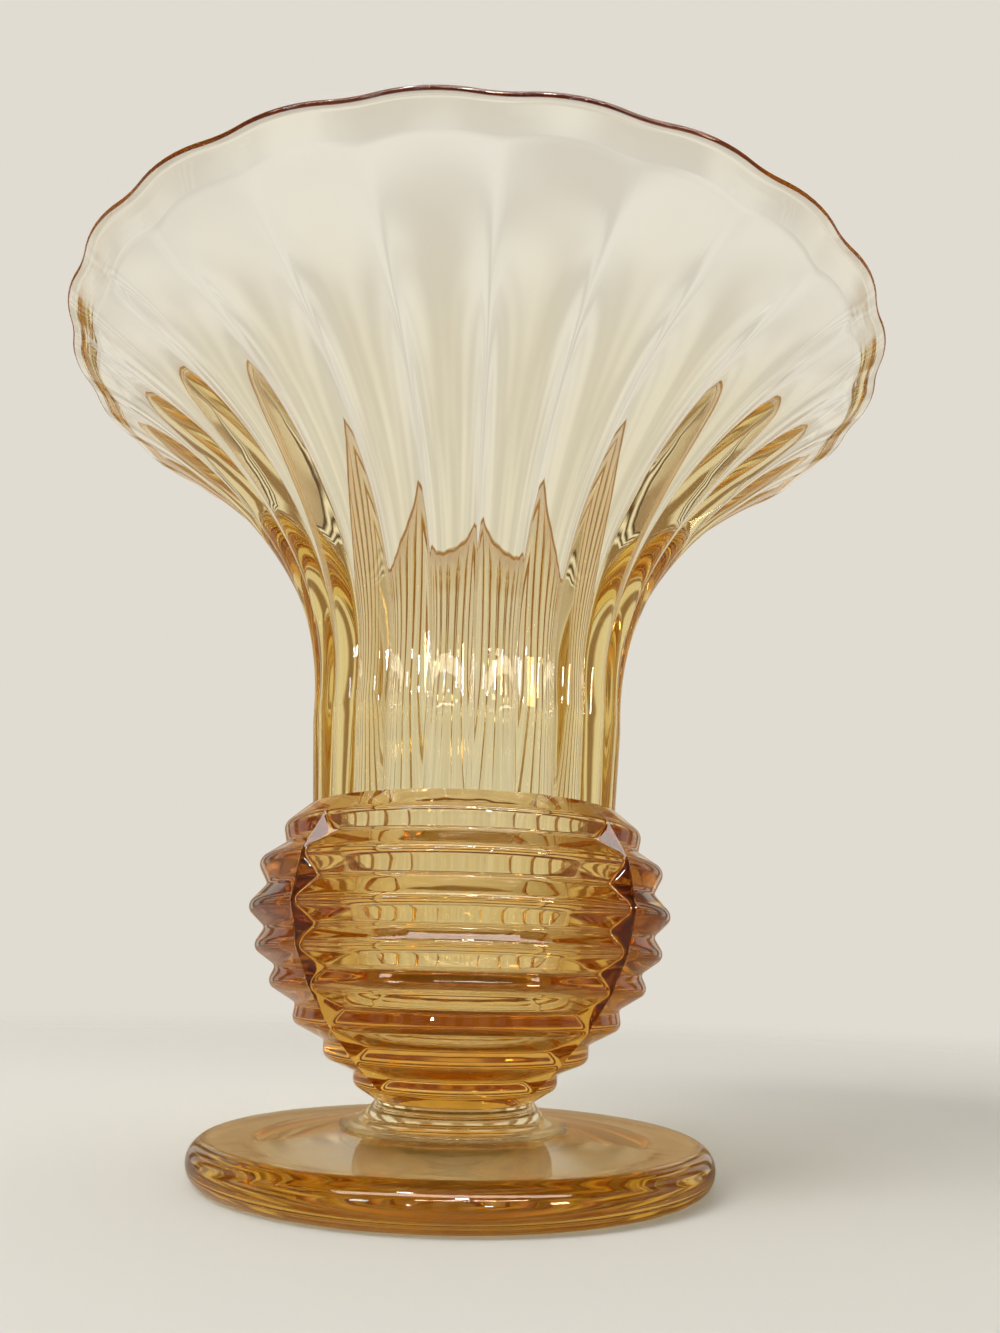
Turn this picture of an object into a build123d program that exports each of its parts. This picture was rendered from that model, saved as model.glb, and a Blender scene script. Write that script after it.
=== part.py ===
from build123d import *
import os
from math import cos, radians, sin, sqrt

# Flared vase of amber glass, in millimetres.
# It stands on Z = 0 with its axis on +Z, and one ribbed panel of the knop faces -Y.
# Four hot-joined pieces sit on each other: foot, merese, ribbed knop and fluted bowl.

# Foot
FOOT_RADIUS = 53.3          # widest point of the rolled rim
FOOT_RIM_HEIGHT = 7.8       # rolled rim, top to bottom
FOOT_HEIGHT = 9.5           # up to the seat of the merese
HOLLOW_RADIUS = 40.0        # inner edge of the ring that the vase stands on
HOLLOW_DEPTH = 3.6          # rise of the hollow at the axis

# Merese, the wafer between foot and knop
MERESE_RADIUS = 23.8        # widest point of its lip
MERESE_EDGE_HEIGHT = 0.9    # thin rounded lip, top to bottom
MERESE_HEIGHT = 4.9         # seat on the foot to seat of the knop
NECK_RADIUS = 16.6          # where the cove meets the knop

# Ribbed knop: crest radius and height above the neck of each rib, from the bottom up
RIB_RADII = (21.6, 28.0, 35.0, 40.8, 44.5, 46.5, 44.9, 39.9)
RIB_HEIGHTS = (3.0, 8.2, 15.0, 22.4, 29.6, 37.8, 47.4, 55.4)
RIB_DEPTH = 3.4             # groove bottom below the line from crest to crest
RIB_CREST_RADIUS = 1.4      # rounding of each crest
SHOULDER_RISE = 4.2         # top rib's crest to the seat of the bowl
SHOULDER_LEDGE = 1.0        # seat left showing round the foot of the flutes

# Fluted bowl: stem, flare and rim
FLUTE_COUNT = 24
STEM_RADIUS = 34.0          # crest of the flutes at the seat
STEM_HEIGHT = 20.0          # nearly straight length above the seat
STEM_SPREAD = 1.5           # gain in radius over that length
FLARE_HEIGHT = 84.7         # top of the stem to the foot of the rim
FLARE_POWER = 2.3           # how late the flare opens
MOUTH_RADIUS = 98.5         # crest of the scallops at the rim
RIM_LAND = 1.3              # upright edge of the rim
STEM_FLUTE_DEPTH = 1.4      # crest to valley at the seat
FLARE_FLUTE_DEPTH = 4.0     # crest to valley where the flutes are deepest
FLARE_FLUTE_PLACE = 0.75    # share of the bowl's height where that is
MOUTH_FLUTE_DEPTH = 1.5     # crest to valley at the rim
SECTION_COUNT = 9           # cross-sections that carry the flutes up the flare
RIM_INNER_RADIUS = 1.2      # rounding of the inner edge of the rim
RIM_OUTER_RADIUS = 0.8      # rounding of the scalloped outer edge of the rim

# Inside of the bowl and the knop
WALL = 4.2                  # flute valley to bore at the seat, measured level
RIM_WALL = 2.2              # the same at the rim
WELL_DEPTH = 44.0           # seat of the bowl to the bottom of the water well
WELL_TAPER = 2.0            # loss of bore radius from the seat to the well's curved end
WELL_END_HEIGHT = 16.0      # height of the well's curved end

# Levels of the seats
merese_seat = FOOT_HEIGHT
knop_seat = merese_seat + MERESE_HEIGHT
bowl_seat = knop_seat + RIB_HEIGHTS[-1] + SHOULDER_RISE
shoulder_radius = STEM_RADIUS + SHOULDER_LEDGE
flare_start = bowl_seat + STEM_HEIGHT
rim_start = flare_start + FLARE_HEIGHT
rim_top = rim_start + RIM_LAND
bore_radius = STEM_RADIUS - STEM_FLUTE_DEPTH - WALL


def crest_radius(z):
    """Radius of the flute crests at height z: a slight cone, then the flare."""
    stem = STEM_RADIUS + STEM_SPREAD * min(1, (z - bowl_seat) / STEM_HEIGHT)
    rise = max(0, (z - flare_start) / FLARE_HEIGHT)
    return stem + (MOUTH_RADIUS - STEM_RADIUS - STEM_SPREAD) * rise**FLARE_POWER


def flute_depth(z):
    """Depth of the flutes at height z: it grows up the flare and fades towards the rim."""
    share = (z - bowl_seat) / (rim_start - bowl_seat)
    if share <= FLARE_FLUTE_PLACE:
        return STEM_FLUTE_DEPTH + (FLARE_FLUTE_DEPTH - STEM_FLUTE_DEPTH) * share / FLARE_FLUTE_PLACE
    fade = (share - FLARE_FLUTE_PLACE) / (1 - FLARE_FLUTE_PLACE)
    return FLARE_FLUTE_DEPTH + (MOUTH_FLUTE_DEPTH - FLARE_FLUTE_DEPTH) * fade**2


def wall_width(z):
    """Level thickness of the wall at height z, from flute valley to bore."""
    share = (z - bowl_seat) / (rim_start - bowl_seat)
    return WALL + (RIM_WALL - WALL) * share


def polar(radius, degrees):
    """Point in plan at a radius and an angle."""
    return (radius * cos(radians(degrees)), radius * sin(radians(degrees)))


def fluted_outline(z):
    """Ring of convex lobes at height z, with a valley over the middle of each knop panel."""
    step = 360 / FLUTE_COUNT
    crest = crest_radius(z)
    valley = crest - flute_depth(z)
    with BuildSketch() as outline:
        with BuildLine():
            for lobe in range(FLUTE_COUNT):
                start = lobe * step
                end = start + step
                ThreePointArc(polar(valley, start), polar(crest, (start + end) / 2), polar(valley, end))
        make_face()
    return outline.sketch


def panel_outline():
    """Upright outline of the knop's four-sided core: its corners reach the rib crests."""
    side = [(radius / sqrt(2), knop_seat + height) for radius, height in zip(RIB_RADII, RIB_HEIGHTS)]
    base = (NECK_RADIUS / sqrt(2), knop_seat)
    top = (shoulder_radius / sqrt(2), bowl_seat)
    with BuildSketch() as outline:
        with BuildLine():
            Polyline((0, knop_seat), base, *side, top, (0, bowl_seat), close=True)
        make_face()
        mirror(about=Plane.YZ)
    return outline.sketch


# Foot: rolled rim, low domed top and a shallow hollow inside the standing ring
with BuildPart() as foot:
    rim_centre = FOOT_RADIUS - FOOT_RIM_HEIGHT / 2
    with BuildSketch(Plane.XZ):
        with BuildLine():
            TangentArc((0, HOLLOW_DEPTH), (HOLLOW_RADIUS, 0), tangent=(1, 0))
            Line((HOLLOW_RADIUS, 0), (rim_centre, 0))
            TangentArc((rim_centre, 0), (rim_centre, FOOT_RIM_HEIGHT), tangent=(1, 0))
            TangentArc((rim_centre, FOOT_RIM_HEIGHT), (MERESE_RADIUS, FOOT_HEIGHT), tangent=(-1, 0))
            Polyline((MERESE_RADIUS, FOOT_HEIGHT), (0, FOOT_HEIGHT), (0, HOLLOW_DEPTH))
        make_face()
    revolve(axis=Axis.Z)
foot.part.label = "foot"

# Merese: thin lip on the foot, cove up to the knop above
with BuildPart() as merese:
    edge_centre = MERESE_RADIUS - MERESE_EDGE_HEIGHT / 2
    edge_top = merese_seat + MERESE_EDGE_HEIGHT
    with BuildSketch(Plane.XZ):
        with BuildLine():
            Line((0, merese_seat), (edge_centre, merese_seat))
            TangentArc((edge_centre, merese_seat), (edge_centre, edge_top), tangent=(1, 0))
            TangentArc((edge_centre, edge_top), (NECK_RADIUS, knop_seat), tangent=(-1, 0))
            Polyline((NECK_RADIUS, knop_seat), (0, knop_seat), (0, merese_seat))
        make_face()
    revolve(axis=Axis.Z)
merese.part.label = "merese"

# Four-sided core of the knop: its upright corners part the ribs into four panels
with BuildPart() as knop_core:
    with BuildSketch(Plane.XZ):
        add(panel_outline())
    extrude(amount=max(RIB_RADII), both=True)
    with BuildSketch(Plane.YZ):
        add(panel_outline())
    extrude(amount=max(RIB_RADII), both=True, mode=Mode.INTERSECT)

# Ribbed knop: V-grooved ball round the core, with the water well sunk in its top
with BuildPart() as ribbed_knop:
    crests = [(radius, knop_seat + height) for radius, height in zip(RIB_RADII, RIB_HEIGHTS)]
    ribs = [crests[0]]
    for below, above in zip(crests, crests[1:]):
        ribs.append(((below[0] + above[0]) / 2 - RIB_DEPTH, (below[1] + above[1]) / 2))
        ribs.append(above)
    with BuildSketch(Plane.XZ) as rib_profile:
        with BuildLine():
            Polyline(
                (0, knop_seat),
                (NECK_RADIUS, knop_seat),
                *ribs,
                (shoulder_radius, bowl_seat),
                (0, bowl_seat),
                close=True,
            )
        make_face()
        crest_corners = [rib_profile.vertices().sort_by_distance(crest)[0] for crest in crests]
        fillet(crest_corners, RIB_CREST_RADIUS)
    revolve(axis=Axis.Z)
    add(knop_core.part)
    well_floor = bowl_seat - WELL_DEPTH
    well_end = (bore_radius - WELL_TAPER, well_floor + WELL_END_HEIGHT)
    with BuildSketch(Plane.XZ):
        with BuildLine():
            Polyline((0, well_floor), (0, bowl_seat), (bore_radius, bowl_seat), well_end)
            Spline(well_end, (0, well_floor), tangents=[(0, -1), (-1, 0)])
        make_face()
    revolve(axis=Axis.Z, mode=Mode.SUBTRACT)
ribbed_knop.part.label = "ribbed_knop"

# Fluted bowl: lobed sections lofted up the flare, an upright rim land and a smooth bore
with BuildPart() as fluted_bowl:
    section_gap = (rim_start - bowl_seat) / (SECTION_COUNT - 1)
    levels = [bowl_seat + section_gap * section for section in range(SECTION_COUNT)]
    for level in levels:
        with BuildSketch(Plane.XY.offset(level)):
            add(fluted_outline(level))
    loft()
    with BuildSketch(Plane.XY.offset(rim_start)):
        add(fluted_outline(rim_start))
    extrude(amount=RIM_LAND)
    bore = [(crest_radius(level) - flute_depth(level) - wall_width(level), level) for level in levels]
    with BuildSketch(Plane.XZ):
        with BuildLine():
            Spline(*bore)
            Polyline(bore[-1], (bore[-1][0], rim_top), (0, rim_top), (0, bowl_seat), bore[0])
        make_face()
    revolve(axis=Axis.Z, mode=Mode.SUBTRACT)
    rim_edges = fluted_bowl.edges().group_by(Axis.Z)[-1].sort_by(SortBy.LENGTH)
    fillet(rim_edges[-1], RIM_INNER_RADIUS)
    scallop_edges = fluted_bowl.edges().group_by(Axis.Z)[-1].sort_by(SortBy.LENGTH)[:-1]
    fillet(scallop_edges, RIM_OUTER_RADIUS)
fluted_bowl.part.label = "fluted_bowl"

os.makedirs("parts", exist_ok=True)
for node in (foot, merese, ribbed_knop, fluted_bowl):
    export_step(node.part, f"parts/{node.part.label}.step")
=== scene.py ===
from math import atan2, cos, hypot, pi, radians, sin, sqrt, tan

import bpy
import numpy as np
from mathutils import Matrix, Vector


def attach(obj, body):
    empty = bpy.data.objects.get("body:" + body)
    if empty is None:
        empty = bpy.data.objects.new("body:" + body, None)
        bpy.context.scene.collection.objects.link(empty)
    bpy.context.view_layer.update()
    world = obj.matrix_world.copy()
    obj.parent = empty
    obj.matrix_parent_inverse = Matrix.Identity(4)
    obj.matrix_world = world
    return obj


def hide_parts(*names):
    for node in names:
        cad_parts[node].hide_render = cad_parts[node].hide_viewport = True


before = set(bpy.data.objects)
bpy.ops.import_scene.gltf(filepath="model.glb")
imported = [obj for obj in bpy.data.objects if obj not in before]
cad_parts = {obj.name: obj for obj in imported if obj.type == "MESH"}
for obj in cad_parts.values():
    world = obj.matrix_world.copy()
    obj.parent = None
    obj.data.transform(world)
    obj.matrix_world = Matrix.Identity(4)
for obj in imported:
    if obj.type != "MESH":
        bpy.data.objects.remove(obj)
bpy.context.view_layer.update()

# Flared vase of amber glass: four glass pieces take the place of the CAD solids, on a pale stage
MM = 0.001

# Sizes of the vase in millimetres, the same as in the CAD model
FOOT_RADIUS = 53.3
FOOT_RIM_HEIGHT = 7.8
FOOT_HEIGHT = 9.5
HOLLOW_RADIUS = 40.0
HOLLOW_DEPTH = 3.6
MERESE_RADIUS = 23.8
MERESE_EDGE_HEIGHT = 0.9
KNOP_SEAT = 14.4
NECK_RADIUS = 16.6
RIB_RADII = (21.6, 28.0, 35.0, 40.8, 44.5, 46.5, 44.9, 39.9)
RIB_HEIGHTS = (3.0, 8.2, 15.0, 22.4, 29.6, 37.8, 47.4, 55.4)
RIB_DEPTH = 3.4
PANEL_COUNT = 4
BOWL_SEAT = 74.0
SHOULDER_RADIUS = 35.0
FLUTE_COUNT = 24
STEM_RADIUS = 34.0
STEM_SPREAD = 1.5
FLARE_START = 94.0
FLARE_POWER = 2.3
RIM_START = 178.7
RIM_TOP = 180.0
MOUTH_RADIUS = 98.5
STEM_FLUTE_DEPTH = 1.4
FLARE_FLUTE_DEPTH = 4.0
FLARE_FLUTE_PLACE = 0.75
MOUTH_FLUTE_DEPTH = 1.5
WALL = 4.2
RIM_WALL = 2.2
BORE_RADIUS = STEM_RADIUS - STEM_FLUTE_DEPTH - WALL
WELL_DEPTH = 44.0
WELL_TAPER = 2.0
WELL_END_HEIGHT = 16.0

# Fire-polished roundings that the CAD model leaves sharp or smaller
CREST_ROUND = 2.0
GROOVE_ROUND = 1.0
CORNER_ROUND = 0.5
STEM_VALLEY_ROUND = 0.8
MOUTH_VALLEY_ROUND = 2.0
LIP_ROUNDS = (0.6, 0.9, 1.1)

# Share of the bowl's height where its inside begins to follow the flutes, and how far it does at the rim
INNER_FLUTE_START = 0.8
INNER_FLUTE_SHARE = 0.9

# The bowl reaches this far into the knop, so that light passes from one to the other
FUSED = 0.02

# Film of air above and below the merese, which keeps it pale between the deep amber of its neighbours
AIR_FILM = 0.02

# Fineness of the meshes: points on a curve or round the axis, and steps along straight lines
TURNED_COLUMNS = 240
HOLLOW_POINTS = 40
FOOT_RIM_POINTS = 32
FOOT_TOP_POINTS = 24
MERESE_POINTS = 20
RING_STEP = 2
SEAT_STEP = 3
RIB_STEP = 0.6
RIB_ARC_POINTS = 7
KNOP_BASE_STEP = 4
WELL_POINTS = 28
WELL_STEP = 2
PANEL_POINTS = 20
CORNER_POINTS = 51
CORNER_SPREAD = 7           # degrees on each side of a corner that get the closer points
LOBE_POINTS = 16
WALL_ROWS = 95
WALL_SAMPLES = 2000         # heights at which the run of the wall is measured
LIP_ROWS = 4                # rows at the top of each wall that the lip replaces
LIP_STEP = 0.3
LIP_ARC_POINTS = 12
BASE_STEP = 1.5
BASE_INSET = 0.01
BASE_FADE = 3               # width over which the bowl's base takes on the flutes
SHARP_ANGLE = radians(40)

# Limits below which a turn is straight, two points are one, and a point is on the axis
STRAIGHT = 1e-6
SAME_PLACE = 1e-4
ON_AXIS = 1e-9


# Profiles and meshes
def tangent_arc(start, end, tangent, count):
    """Points on the arc that leaves start along tangent and ends at end."""
    start = np.array(start, float)
    end = np.array(end, float)
    chord = end - start
    across = tangent[0] * chord[1] - tangent[1] * chord[0]
    along = tangent[0] * chord[0] + tangent[1] * chord[1]
    turn = atan2(across, along)
    share = np.linspace(0, 1, count)[:, None]
    if abs(turn) < STRAIGHT:
        return start + share * chord
    reach = hypot(*chord) * np.sin(turn * share) / sin(turn)
    angle = atan2(tangent[1], tangent[0]) + turn * share
    return start + reach * np.hstack([np.cos(angle), np.sin(angle)])


def line(start, end, step):
    """Evenly spaced points from start to end, both included."""
    start = np.array(start, float)
    end = np.array(end, float)
    count = max(2, int(np.ceil(hypot(*(end - start)) / step)) + 1)
    return start + np.linspace(0, 1, count)[:, None] * (end - start)


def rounded(points, radii, step, arc_count):
    """Polyline with a rounding at each inner point, sampled along its length."""
    points = [np.array(point, float) for point in points]
    path = []
    last = points[0]
    for before, here, after, radius in zip(points, points[1:], points[2:], radii):
        way_in = (here - before) / hypot(*(here - before))
        way_out = (after - here) / hypot(*(after - here))
        across = way_in[0] * way_out[1] - way_in[1] * way_out[0]
        turn = abs(atan2(across, float(way_in @ way_out)))
        trim = radius * tan(turn / 2)
        arc_start = here - way_in * trim
        arc_end = here + way_out * trim
        path.append(line(last, arc_start, step))
        path.append(tangent_arc(arc_start, arc_end, way_in, arc_count))
        last = arc_end
    path.append(line(last, points[-1], step))
    return joined(path)


def joined(paths):
    """One path from several, without the points that follow each other twice."""
    points = np.vstack(paths)
    keep = np.r_[True, np.hypot(*np.diff(points, axis=0).T) > SAME_PLACE]
    return points[keep]


def smooth_max(a, b, width):
    """The larger of a and b, with a rounding where they cross."""
    near = np.maximum(width - np.abs(a - b), 0) / width
    return np.maximum(a, b) + near * near * width / 4


def lathe(name, radius, height, angles, ring=False):
    """Closed mesh from rows of points round the axis: radius is rows by columns, height one per row."""
    rows, columns = radius.shape
    points = []
    index = []
    for r, z in zip(radius, height):
        if r.max() < ON_AXIS:
            index.append(np.full(columns, len(points)))
            points.append((0.0, 0.0, z * MM))
        else:
            index.append(np.arange(columns) + len(points))
            x = r * np.cos(angles) * MM
            y = r * np.sin(angles) * MM
            points.extend(zip(x, y, np.full(columns, z * MM)))
    faces = []
    for row in range(rows if ring else rows - 1):
        low = index[row]
        high = index[(row + 1) % rows]
        low_next = np.roll(low, -1)
        high_next = np.roll(high, -1)
        if low[0] == low[1]:
            faces.extend(zip(low, high_next, high))
        elif high[0] == high[1]:
            faces.extend(zip(low, low_next, high))
        else:
            faces.extend(zip(low, low_next, high_next, high))
    mesh = bpy.data.meshes.new(name)
    corners = [tuple(map(float, point)) for point in points]
    mesh.from_pydata(corners, [], [tuple(map(int, face)) for face in faces])
    mesh.validate()
    mesh.shade_smooth()
    mesh.set_sharp_from_angle(angle=SHARP_ANGLE)
    piece = bpy.data.objects.new(name, mesh)
    bpy.context.scene.collection.objects.link(piece)
    return piece


def turned(name, profile):
    """Closed piece turned from a profile of (radius, height) points."""
    angles = np.arange(TURNED_COLUMNS) * 2 * pi / TURNED_COLUMNS
    return lathe(name, np.repeat(profile[:, :1], TURNED_COLUMNS, axis=1), profile[:, 1], angles)


# Foot: hollow, standing ring, rolled rim and low domed top
rim_centre = FOOT_RADIUS - FOOT_RIM_HEIGHT / 2
foot = turned("foot_glass", joined([
    tangent_arc((0, HOLLOW_DEPTH), (HOLLOW_RADIUS, 0), (1, 0), HOLLOW_POINTS),
    line((HOLLOW_RADIUS, 0), (rim_centre, 0), RING_STEP),
    tangent_arc((rim_centre, 0), (rim_centre, FOOT_RIM_HEIGHT), (1, 0), FOOT_RIM_POINTS),
    tangent_arc((rim_centre, FOOT_RIM_HEIGHT), (MERESE_RADIUS, FOOT_HEIGHT), (-1, 0), FOOT_TOP_POINTS),
    line((MERESE_RADIUS, FOOT_HEIGHT), (0, FOOT_HEIGHT), SEAT_STEP),
]))

# Merese: thin rounded edge and a cove up to the knop
edge_centre = MERESE_RADIUS - MERESE_EDGE_HEIGHT / 2
edge_top = FOOT_HEIGHT + MERESE_EDGE_HEIGHT
merese_seat = FOOT_HEIGHT + AIR_FILM
merese = turned("merese_glass", joined([
    line((0, merese_seat), (edge_centre, merese_seat), SEAT_STEP),
    tangent_arc((edge_centre, merese_seat), (edge_centre, edge_top), (1, 0), MERESE_POINTS),
    tangent_arc((edge_centre, edge_top), (NECK_RADIUS, KNOP_SEAT), (-1, 0), MERESE_POINTS),
    line((NECK_RADIUS, KNOP_SEAT), (0, KNOP_SEAT), SEAT_STEP),
]))

# Ribbed knop: profile of ribs outside and water well inside
crests = [(radius, KNOP_SEAT + height) for radius, height in zip(RIB_RADII, RIB_HEIGHTS)]
ribs = [crests[0]]
roundings = [CREST_ROUND]
for below, above in zip(crests, crests[1:]):
    groove = ((below[0] + above[0]) / 2 - RIB_DEPTH, (below[1] + above[1]) / 2)
    ribs += [groove, above]
    roundings += [GROOVE_ROUND, CREST_ROUND]
knop_seat = KNOP_SEAT + AIR_FILM
rib_corners = [(NECK_RADIUS, knop_seat), *ribs, (SHOULDER_RADIUS, BOWL_SEAT)]
outside = rounded(rib_corners, roundings, RIB_STEP, RIB_ARC_POINTS)
well_floor = BOWL_SEAT - WELL_DEPTH
well_end = (BORE_RADIUS - WELL_TAPER, well_floor + WELL_END_HEIGHT)
sweep = np.linspace(0, pi / 2, WELL_POINTS)
well_radius = well_end[0] * np.cos(sweep)
well_height = well_end[1] - WELL_END_HEIGHT * np.sin(sweep)
knop_profile = joined([
    line((0, knop_seat), (NECK_RADIUS, knop_seat), KNOP_BASE_STEP),
    outside,
    line((SHOULDER_RADIUS, BOWL_SEAT), (BORE_RADIUS, BOWL_SEAT), WELL_STEP),
    line((BORE_RADIUS, BOWL_SEAT), well_end, WELL_STEP),
    np.stack([well_radius, well_height], axis=1),
])
knop_profile[-1, 0] = 0

# Its four-sided core stands out between the ribs, so that they end at four upright edges
half_panel = 180 / PANEL_COUNT
corner_fan = np.concatenate([
    np.linspace(-half_panel, -CORNER_SPREAD, PANEL_POINTS)[:-1],
    np.linspace(-CORNER_SPREAD, CORNER_SPREAD, CORNER_POINTS),
    np.linspace(CORNER_SPREAD, half_panel, PANEL_POINTS)[1:-1],
])
corner_places = [half_panel + 2 * half_panel * corner for corner in range(PANEL_COUNT)]
knop_angles = np.radians(np.concatenate([corner_fan + place for place in corner_places]))
core_half = np.interp(
    knop_profile[:, 1],
    [KNOP_SEAT, *[height for radius, height in crests], BOWL_SEAT],
    [NECK_RADIUS / sqrt(2), *[radius / sqrt(2) for radius, height in crests], SHOULDER_RADIUS / sqrt(2)],
)
across_panel = np.maximum(np.abs(np.cos(knop_angles)), np.abs(np.sin(knop_angles)))
core_radius = core_half[:, None] / across_panel[None, :]
knop_radius = np.repeat(knop_profile[:, :1], len(knop_angles), axis=1)
flank_start = np.argmin(np.hypot(*(knop_profile - outside[0]).T)) + 1
flank_end = np.argmin(np.hypot(*(knop_profile - outside[-1]).T))
flank = slice(flank_start, flank_end)
knop_radius[flank] = smooth_max(knop_radius[flank], core_radius[flank], CORNER_ROUND)
knop = lathe("knop_glass", knop_radius, knop_profile[:, 1], knop_angles)


# Fluted bowl
def height_share(z):
    """Height z as a share of the bowl's height from seat to rim."""
    return np.clip((z - BOWL_SEAT) / (RIM_START - BOWL_SEAT), 0, 1)


def crest_radius(z):
    """Radius of the flute crests at height z."""
    stem = STEM_RADIUS + STEM_SPREAD * np.clip((z - BOWL_SEAT) / (FLARE_START - BOWL_SEAT), 0, 1)
    rise = np.clip((z - FLARE_START) / (RIM_START - FLARE_START), 0, 1)
    return stem + (MOUTH_RADIUS - STEM_RADIUS - STEM_SPREAD) * rise**FLARE_POWER


def flute_depth(z):
    """Depth of the flutes at height z: it grows up the flare and fades towards the rim."""
    share = height_share(z)
    grown = STEM_FLUTE_DEPTH + (FLARE_FLUTE_DEPTH - STEM_FLUTE_DEPTH) * share / FLARE_FLUTE_PLACE
    fade = np.clip((share - FLARE_FLUTE_PLACE) / (1 - FLARE_FLUTE_PLACE), 0, 1)
    faded = FLARE_FLUTE_DEPTH + (MOUTH_FLUTE_DEPTH - FLARE_FLUTE_DEPTH) * fade**2
    return np.where(fade > 0, faded, grown)


def lobe_radius(crest, depth, turn):
    """Radius of one convex lobe at an angle from its crest line."""
    valley = crest - depth
    centre = (crest**2 - valley**2) / (2 * (crest - valley * cos(half_lobe)))
    reach = (crest - centre) ** 2 - (centre * np.sin(turn)) ** 2
    return np.where(reach > 0, centre * np.cos(turn) + np.sqrt(np.maximum(reach, 0)), 0)


# Angles round the bowl, closer together at the valleys
half_lobe = pi / FLUTE_COUNT
turns = half_lobe * np.sin(np.linspace(-1, 1, LOBE_POINTS + 1)[:-1] * pi / 2)
bowl_angles = np.concatenate([turns + half_lobe + lobe * 2 * half_lobe for lobe in range(FLUTE_COUNT)])
lobe_turns = np.tile(turns, FLUTE_COUNT)

# Heights spaced evenly along the curve of the wall
bowl_seat = BOWL_SEAT - FUSED
fine_z = np.linspace(bowl_seat, RIM_START, WALL_SAMPLES)
run = np.r_[0, np.cumsum(np.hypot(np.diff(crest_radius(fine_z)), np.diff(fine_z)))]
wall_z = np.interp(np.linspace(0, run[-1], WALL_ROWS), run, fine_z)

# Near the rim the flutes show inside too, so that the lip keeps an even thickness
inner_rise = np.clip((height_share(wall_z) - INNER_FLUTE_START) / (1 - INNER_FLUTE_START), 0, 1)
inner_follow = INNER_FLUTE_SHARE * inner_rise**2 * (3 - 2 * inner_rise)
wall_width = WALL + (RIM_WALL - WALL) * height_share(wall_z)
bore_at = crest_radius(wall_z) - flute_depth(wall_z) * (1 - inner_follow) - wall_width
outer_wall = np.stack([crest_radius(wall_z), wall_z], axis=1)
inner_wall = np.stack([bore_at, wall_z], axis=1)[::-1]
rim_bore = bore_at[-1]
lip_corners = [
    outer_wall[-LIP_ROWS],
    (MOUTH_RADIUS, RIM_START),
    (MOUTH_RADIUS, RIM_TOP),
    (rim_bore, RIM_TOP),
    inner_wall[LIP_ROWS - 1],
]
lip = rounded(lip_corners, LIP_ROUNDS, LIP_STEP, LIP_ARC_POINTS)
base_edge = outer_wall[0][0] - BASE_INSET
bowl_profile = joined([
    outer_wall[:-LIP_ROWS],
    lip,
    inner_wall[LIP_ROWS:],
    line((bore_at[0], bowl_seat), (base_edge, bowl_seat), BASE_STEP)[1:-1],
])

# Share of the flutes that each row of the profile shows
lip_begin = len(outer_wall) - LIP_ROWS
lip_end = lip_begin + len(lip)
base_begin = lip_end + len(inner_wall) - LIP_ROWS
lobed = np.ones(len(bowl_profile))
across_lip = np.clip((bowl_profile[lip_begin:lip_end, 0] - rim_bore) / (MOUTH_RADIUS - rim_bore), 0, 1)
lobed[lip_begin:lip_end] = INNER_FLUTE_SHARE + (1 - INNER_FLUTE_SHARE) * across_lip
lobed[lip_end:base_begin] = inner_follow[::-1][LIP_ROWS:]
lobed[base_begin:] = np.clip((bowl_profile[base_begin:, 0] - bore_at[0]) / BASE_FADE, 0, 1)
bowl_radius = np.empty((len(bowl_profile), len(bowl_angles)))
for row, (radius, z) in enumerate(bowl_profile):
    crest = crest_radius(z)
    depth = flute_depth(z)
    here = lobe_radius(crest, depth, lobe_turns)
    beside = lobe_radius(crest, depth, 2 * half_lobe - np.abs(lobe_turns))
    valley_round = np.interp(z, [BOWL_SEAT, RIM_START], [STEM_VALLEY_ROUND, MOUTH_VALLEY_ROUND])
    dip = crest - smooth_max(here, beside, valley_round)
    bowl_radius[row] = radius - lobed[row] * dip
bowl = lathe("bowl_glass", bowl_radius, bowl_profile[:, 1], bowl_angles, ring=True)

# Glass
GLASS_IOR = 1.5
RIPPLE_SCALE = 90
RIPPLE_DETAIL = 2
RIPPLE_DISTANCE = 0.0004


def material(name):
    """New node material without nodes other than its output."""
    made = bpy.data.materials.new(name)
    made.use_nodes = True
    tree = made.node_tree
    tree.nodes.clear()
    output = tree.nodes.new("ShaderNodeOutputMaterial")
    return made, tree, output


def amber_glass(name, skin, density, tint, ripple_strength):
    """Clear amber glass: colour from its depth, faint ripples from the mould and the fire polish."""
    made, tree, output = material(name)
    shader = tree.nodes.new("ShaderNodeBsdfPrincipled")
    shader.inputs["Base Color"].default_value = skin
    shader.inputs["Transmission Weight"].default_value = 1
    shader.inputs["IOR"].default_value = GLASS_IOR
    shader.inputs["Roughness"].default_value = 0
    depth = tree.nodes.new("ShaderNodeVolumeAbsorption")
    depth.inputs["Color"].default_value = tint
    depth.inputs["Density"].default_value = density
    coordinates = tree.nodes.new("ShaderNodeTexCoord")
    ripple = tree.nodes.new("ShaderNodeTexNoise")
    ripple.inputs["Scale"].default_value = RIPPLE_SCALE
    ripple.inputs["Detail"].default_value = RIPPLE_DETAIL
    bump = tree.nodes.new("ShaderNodeBump")
    bump.inputs["Strength"].default_value = ripple_strength
    bump.inputs["Distance"].default_value = RIPPLE_DISTANCE
    tree.links.new(coordinates.outputs["Object"], ripple.inputs["Vector"])
    tree.links.new(ripple.outputs["Fac"], bump.inputs["Height"])
    tree.links.new(bump.outputs["Normal"], shader.inputs["Normal"])
    tree.links.new(shader.outputs["BSDF"], output.inputs["Surface"])
    tree.links.new(depth.outputs["Volume"], output.inputs["Volume"])
    return made


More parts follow.
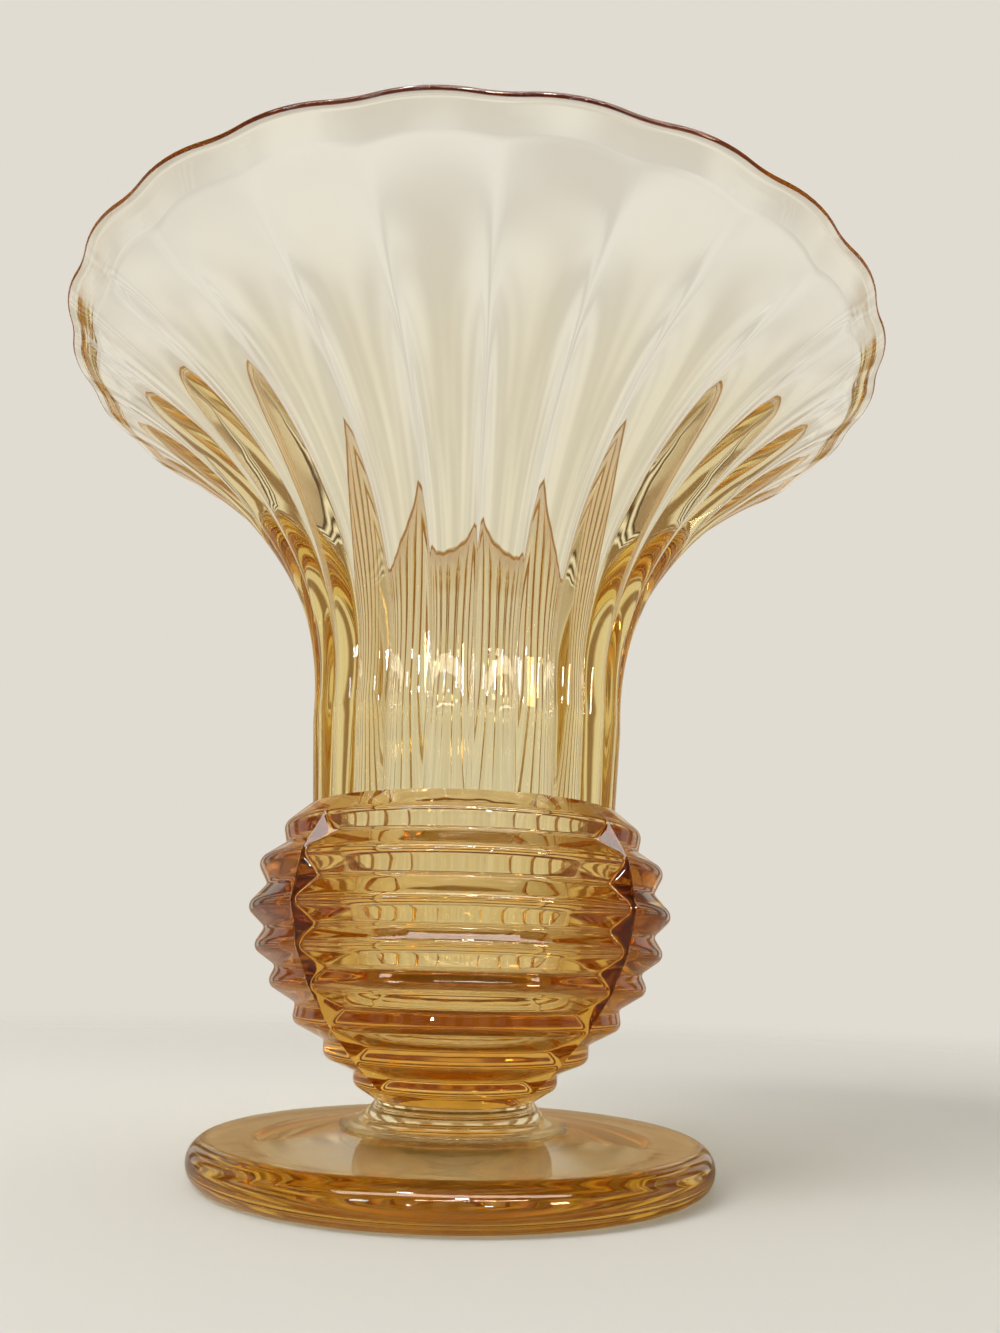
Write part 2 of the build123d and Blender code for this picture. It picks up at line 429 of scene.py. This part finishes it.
# Piece, CAD node, tint of the surface, density and tint of the depth, strength of the ripples
glasses = (
    (foot, "foot", (0.99, 0.92, 0.78, 1), 28, (0.86, 0.70, 0.0, 1), 0.08),
    (merese, "merese", (0.99, 0.96, 0.84, 1), 8, (0.90, 0.74, 0.0, 1), 0.08),
    (knop, "ribbed_knop", (1, 1, 1, 1), 50, (0.88, 0.67, 0.0, 1), 0.25),
    (bowl, "fluted_bowl", (1, 1, 1, 1), 60, (0.88, 0.72, 0.0, 1), 0.06),
)
for piece, node, skin, density, tint, ripple_strength in glasses:
    piece.data.materials.append(amber_glass(node + "_amber", skin, density, tint, ripple_strength))
    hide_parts(node)
    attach(piece, "root")

# Colour sockets of a Mix node: both inputs and the output
MIX_BELOW = 6
MIX_ABOVE = 7
MIX_RESULT = 2

# Pale floor, in metres, which fades into the background away from the vase
FLOOR_TONE = (0.67, 0.67, 0.655, 1)
FLOOR_RADIUS = 1.6
FLOOR_SIDES = 96
FLOOR_DROP = 0.0001
FADE_START = 0.18
FADE_END = 0.8

floor_mesh = bpy.data.meshes.new("floor")
floor_angles = np.linspace(0, 2 * pi, FLOOR_SIDES + 1)[:-1]
floor_edge = [(FLOOR_RADIUS * cos(angle), FLOOR_RADIUS * sin(angle), -FLOOR_DROP) for angle in floor_angles]
floor_mesh.from_pydata(floor_edge, [], [tuple(range(FLOOR_SIDES))])
floor = bpy.data.objects.new("floor", floor_mesh)
bpy.context.scene.collection.objects.link(floor)
floor_pale, tree, output = material("pale_floor")
diffuse = tree.nodes.new("ShaderNodeBsdfDiffuse")
diffuse.inputs["Color"].default_value = FLOOR_TONE
clear = tree.nodes.new("ShaderNodeBsdfTransparent")
mix = tree.nodes.new("ShaderNodeMixShader")
coordinates = tree.nodes.new("ShaderNodeTexCoord")
length = tree.nodes.new("ShaderNodeVectorMath")
length.operation = "LENGTH"
fade = tree.nodes.new("ShaderNodeMapRange")
fade.interpolation_type = "SMOOTHSTEP"
fade.inputs["From Min"].default_value = FADE_START
fade.inputs["From Max"].default_value = FADE_END
tree.links.new(coordinates.outputs["Object"], length.inputs[0])
tree.links.new(length.outputs["Value"], fade.inputs["Value"])
tree.links.new(fade.outputs["Result"], mix.inputs["Fac"])
tree.links.new(diffuse.outputs["BSDF"], mix.inputs[1])
tree.links.new(clear.outputs["BSDF"], mix.inputs[2])
tree.links.new(mix.outputs["Shader"], output.inputs["Surface"])
floor_mesh.materials.append(floor_pale)

# Glowing striped cards on the floor at both sides, out of the picture, which draw the lines in the flutes:
# their dark and pale stripes are painted shade and light that only the glass sees
# Painted shade and painted light of the cards' stripes
CARD_PAINTED_LIGHT = (0.95, 0.90, 0.80, 1)
CARD_PAINTED_SHADE = (0.10, 0.05, 0.02, 1)
CARD_PLACE = 0.66
CARD_WIDTH = 0.32
CARD_FRONT = -0.3
CARD_BACK = 0.7
CARD_LIFT = 0.0004
STRIPE_SCALE = 3.0
STRIPE_WARP = 0.3


def card(name, x):
    """Glowing card beside the vase, seen by the glass only, with its middle at x: its stripes are painted
    shade and light.
    """
    low = x - CARD_WIDTH / 2
    high = x + CARD_WIDTH / 2
    plan = [(low, CARD_FRONT), (high, CARD_FRONT), (high, CARD_BACK), (low, CARD_BACK)]
    mesh = bpy.data.meshes.new(name)
    mesh.from_pydata([(*corner, CARD_LIFT) for corner in plan], [], [(0, 1, 2, 3)])
    made, tree, output = material(name)
    coordinates = tree.nodes.new("ShaderNodeTexCoord")
    stripes = tree.nodes.new("ShaderNodeTexWave")
    stripes.inputs["Scale"].default_value = STRIPE_SCALE
    stripes.inputs["Distortion"].default_value = STRIPE_WARP
    stripes.inputs["Detail"].default_value = 0
    # The card glows with stripes of painted shade and painted light
    tone = tree.nodes.new("ShaderNodeMix")
    tone.data_type = "RGBA"
    tone.inputs[MIX_BELOW].default_value = CARD_PAINTED_SHADE
    tone.inputs[MIX_ABOVE].default_value = CARD_PAINTED_LIGHT
    glow = tree.nodes.new("ShaderNodeEmission")
    tree.links.new(coordinates.outputs["Object"], stripes.inputs["Vector"])
    tree.links.new(stripes.outputs["Fac"], tone.inputs["Factor"])
    tree.links.new(tone.outputs[MIX_RESULT], glow.inputs["Color"])
    tree.links.new(glow.outputs["Emission"], output.inputs["Surface"])
    mesh.materials.append(made)
    laid = bpy.data.objects.new(name, mesh)
    laid.visible_camera = False
    laid.visible_diffuse = False
    laid.visible_shadow = False
    bpy.context.scene.collection.objects.link(laid)


card("card_left", -CARD_PLACE)
card("card_right", CARD_PLACE)

# Studio round the vase: its tones
PALE = (0.75, 0.715, 0.645, 1)
# Painted shade and painted light of the backdrop's fold shading
FOLD_SHADE = (0.68, 0.645, 0.575, 1)
FOLD_LIGHT = (0.82, 0.79, 0.72, 1)
ROOM_PALE = (0.80, 0.73, 0.60, 1)
ROOM_DIM = (0.30, 0.19, 0.09, 1)
# Painted amber shade behind the vase, low and higher up
ROOM_LOW_SHADE = (0.46, 0.29, 0.15, 1)
ROOM_WARM_SHADE = (0.66, 0.34, 0.07, 1)
ROOM_HIGH = (0.37, 0.17, 0.04, 1)
ROOM_DARK = (0.05, 0.04, 0.03, 1)

# Patterns of the painted fold shading and of the stripes, and the range of each that goes from dark to pale
FOLD_STRETCH = (1, 1, 0.12)
FOLD_SCALE = 9
FOLD_RANGE = (0.33, 0.67)
BAND_SCALE = 1.7
BAND_WARP = 1
BAND_RANGE = (0.1, 0.6)

# Soft edges of the room's parts, as parts of a unit direction
FRONT_RANGE = (-0.25, 0.25)
FRONT_SHARE = 0.45
CENTRE_RANGE = (0.42, 0.25)
BACK_RANGE = (0.5, 0.8)
LOW_RANGE = (0.30, 0.14)
WARM_RANGE = (0.30, 0.40)
HIGH_RANGE = (0.50, 0.65)
TOP_RANGE = (0.94, 0.98)
DARK_WAY = (0.0, -0.958, -0.287)
DARK_RANGE = (0.93, 0.97)

# Glossy depth that parts rays with no mirroring from those with one or more
MIRROR_LIMIT = 0.5

world = bpy.data.worlds.new("studio")
bpy.context.scene.world = world
world.use_nodes = True
sky = world.node_tree
sky.nodes.clear()
sky_output = sky.nodes.new("ShaderNodeOutputWorld")
ray = sky.nodes.new("ShaderNodeLightPath")
way = sky.nodes.new("ShaderNodeTexCoord").outputs["Generated"]
split = sky.nodes.new("ShaderNodeSeparateXYZ")
sky.links.new(way, split.inputs["Vector"])


def soft_step(value, start, end, low=0.0):
    """Soft step of a value, from low at start to 1 at end."""
    node = sky.nodes.new("ShaderNodeMapRange")
    node.interpolation_type = "SMOOTHSTEP"
    node.inputs["From Min"].default_value = start
    node.inputs["From Max"].default_value = end
    node.inputs["To Min"].default_value = low
    sky.links.new(value, node.inputs["Value"])
    return node.outputs["Result"]


def maths(operation, *values):
    """Result of a maths node on linked values and plain numbers."""
    node = sky.nodes.new("ShaderNodeMath")
    node.operation = operation
    for socket, value in zip(node.inputs, values):
        if isinstance(value, float):
            socket.default_value = value
        else:
            sky.links.new(value, socket)
    return node.outputs["Value"]


def blend(share, below, above):
    """Colour between two colours, each a linked one or a plain one."""
    node = sky.nodes.new("ShaderNodeMix")
    node.data_type = "RGBA"
    sky.links.new(share, node.inputs["Factor"])
    for socket, colour in ((node.inputs[MIX_BELOW], below), (node.inputs[MIX_ABOVE], above)):
        if isinstance(colour, tuple):
            socket.default_value = colour
        else:
            sky.links.new(colour, socket)
    return node.outputs[MIX_RESULT]


def background(colour):
    """Background shader of a linked or plain colour."""
    node = sky.nodes.new("ShaderNodeBackground")
    if isinstance(colour, tuple):
        node.inputs["Color"].default_value = colour
    else:
        sky.links.new(colour, node.inputs["Color"])
    return node.outputs["Background"]


def either(share, below, above):
    """One of two shaders."""
    node = sky.nodes.new("ShaderNodeMixShader")
    sky.links.new(share, node.inputs["Fac"])
    sky.links.new(below, node.inputs[1])
    sky.links.new(above, node.inputs[2])
    return node.outputs["Shader"]


# Rays straight through the glass meet the pale backdrop, with soft upright fold shading painted in it:
# painted light and shade
fold_way = sky.nodes.new("ShaderNodeVectorMath")
fold_way.operation = "MULTIPLY"
fold_way.inputs[1].default_value = FOLD_STRETCH
sky.links.new(way, fold_way.inputs[0])
fold_shading = sky.nodes.new("ShaderNodeTexNoise")
fold_shading.inputs["Scale"].default_value = FOLD_SCALE
fold_shading.inputs["Detail"].default_value = 1
sky.links.new(fold_way.outputs["Vector"], fold_shading.inputs["Vector"])
# The backdrop goes from painted shade to painted light with the fold shading
through = background(blend(soft_step(fold_shading.outputs["Fac"], *FOLD_RANGE), FOLD_SHADE, FOLD_LIGHT))

# Rays mirrored in the glass meet a warm room with upright stripes, dimmer in front
bands = sky.nodes.new("ShaderNodeTexWave")
bands.inputs["Scale"].default_value = BAND_SCALE
bands.inputs["Distortion"].default_value = BAND_WARP
bands.inputs["Detail"].default_value = 1
sky.links.new(way, bands.inputs["Vector"])
striped = soft_step(bands.outputs["Fac"], *BAND_RANGE)
away_from_front = soft_step(split.outputs["Y"], *FRONT_RANGE, FRONT_SHARE)
room = blend(maths("MULTIPLY", striped, away_from_front), ROOM_DIM, ROOM_PALE)

# It is brown at the back, where it is painted amber shade, and brown higher up, pale overhead, and dark low
# in front
centre = soft_step(maths("ABSOLUTE", split.outputs["X"]), *CENTRE_RANGE)
at_back = soft_step(split.outputs["Y"], *BACK_RANGE)
behind = maths("MULTIPLY", centre, at_back)
# Low behind the vase and higher behind it, the room is painted amber shade
low_behind = maths("MULTIPLY", soft_step(split.outputs["Z"], *LOW_RANGE), behind)
room = blend(low_behind, room, ROOM_LOW_SHADE)
warm_behind = maths("MULTIPLY", soft_step(split.outputs["Z"], *WARM_RANGE), behind)
room = blend(warm_behind, room, ROOM_WARM_SHADE)
room = blend(soft_step(split.outputs["Z"], *HIGH_RANGE), room, ROOM_HIGH)
room = blend(soft_step(split.outputs["Z"], *TOP_RANGE), room, ROOM_PALE)
facing = sky.nodes.new("ShaderNodeVectorMath")
facing.operation = "DOT_PRODUCT"
facing.inputs[1].default_value = DARK_WAY
sky.links.new(way, facing.inputs[0])
room = background(blend(soft_step(facing.outputs["Value"], *DARK_RANGE), room, ROOM_DARK))

mirrored = maths("GREATER_THAN", ray.outputs["Glossy Depth"], MIRROR_LIMIT)
glass_sees = either(mirrored, through, room)
studio = either(ray.outputs["Is Camera Ray"], glass_sees, background(PALE))
sky.links.new(studio, sky_output.inputs["Surface"])

# Lamps: name, place and size in metres, power in watts, colour
LAMP_AIM = Vector((0, 0, 0.08))
KEY = ("key", (-0.7, -0.5, 0.9), (0.5, 0.7), 8.5, (1.0, 0.98, 0.95))
SOFTBOXES = (
    ("overhead", (0.0, -0.75, 1.30), (2.40, 0.30), 18.0, (1.0, 0.94, 0.88)),
    ("window", (-0.55, -0.70, 0.36), (0.12, 0.12), 0.7, (0.75, 0.88, 1.0)),
    ("strip", (0.10, -0.75, 0.62), (0.70, 0.03), 2.6, (1.0, 0.92, 0.84)),
)
BULBS = (
    ("bulb_right", (0.55, -0.60, 0.28), (0.10, 0.10), 1.4, (1.0, 0.74, 0.44)),
    ("bulb_left", (-0.28, -0.88, 0.25), (0.03, 0.03), 0.45, (0.86, 0.93, 1.0)),
    ("bulb_near", (0.22, -0.90, 0.30), (0.05, 0.05), 1.2, (0.90, 0.95, 1.0)),
    ("bulb_high", (0.05, -0.70, 0.80), (0.08, 0.08), 2.4, (1.0, 0.94, 0.82)),
    ("bulb_top", (-0.25, -0.35, 1.00), (0.08, 0.08), 2.4, (1.0, 0.97, 0.92)),
)


def lamp(name, place, size, power, colour):
    """Rectangular lamp that faces the vase."""
    data = bpy.data.lights.new(name, "AREA")
    data.shape = "RECTANGLE"
    data.size, data.size_y = size
    data.energy = power
    data.color = colour
    made = bpy.data.objects.new(name, data)
    made.location = place
    made.rotation_euler = (LAMP_AIM - Vector(place)).to_track_quat("-Z", "Y").to_euler()
    made.visible_camera = False
    bpy.context.scene.collection.objects.link(made)
    return made


# The key lights the floor, the softboxes show as sheen on the glass, the bulbs as glints in it
key = lamp(*KEY)
key.visible_glossy = False
key.visible_transmission = False
for facts in SOFTBOXES:
    softbox = lamp(*facts)
    softbox.visible_diffuse = False
    softbox.visible_transmission = False
for facts in BULBS:
    bulb = lamp(*facts)
    bulb.visible_diffuse = False

# Camera, found from the photograph's perspective
FOCAL_PIXELS = 1000
IMAGE_HEIGHT = 1333
SENSOR_WIDTH = 36
CLIP_START = 0.005
CAMERA_PLACE = Vector((0.00722, -0.2277, 0.0402))
CAMERA_PITCH = radians(16.98)
CAMERA_ROLL = radians(1.47)
VASE_TURN = radians(3.0)

camera_data = bpy.data.cameras.new("camera")
camera_data.sensor_fit = "AUTO"
camera_data.sensor_width = SENSOR_WIDTH
camera_data.lens = SENSOR_WIDTH * FOCAL_PIXELS / IMAGE_HEIGHT
camera_data.clip_start = CLIP_START
camera = bpy.data.objects.new("camera", camera_data)
ahead = Vector((0, cos(CAMERA_PITCH), sin(CAMERA_PITCH)))
up = Vector((0, -sin(CAMERA_PITCH), cos(CAMERA_PITCH)))
right = Vector((1, 0, 0))
rolled_right = right * cos(CAMERA_ROLL) + up * sin(CAMERA_ROLL)
rolled_up = up * cos(CAMERA_ROLL) - right * sin(CAMERA_ROLL)
pose = Matrix((rolled_right, rolled_up, -ahead)).transposed().to_4x4()
pose.translation = CAMERA_PLACE
camera.matrix_world = Matrix.Rotation(-VASE_TURN, 4, "Z") @ pose
bpy.context.scene.collection.objects.link(camera)
bpy.context.scene.camera = camera

bpy.context.scene.view_settings.view_transform = "Standard"

# Light is handed on many times inside solid glass
MAX_BOUNCES = 40
GLOSSY_BOUNCES = 32
light_paths = bpy.context.scene.cycles
light_paths.max_bounces = MAX_BOUNCES
light_paths.glossy_bounces = GLOSSY_BOUNCES
light_paths.transmission_bounces = MAX_BOUNCES

bpy.context.view_layer.update()
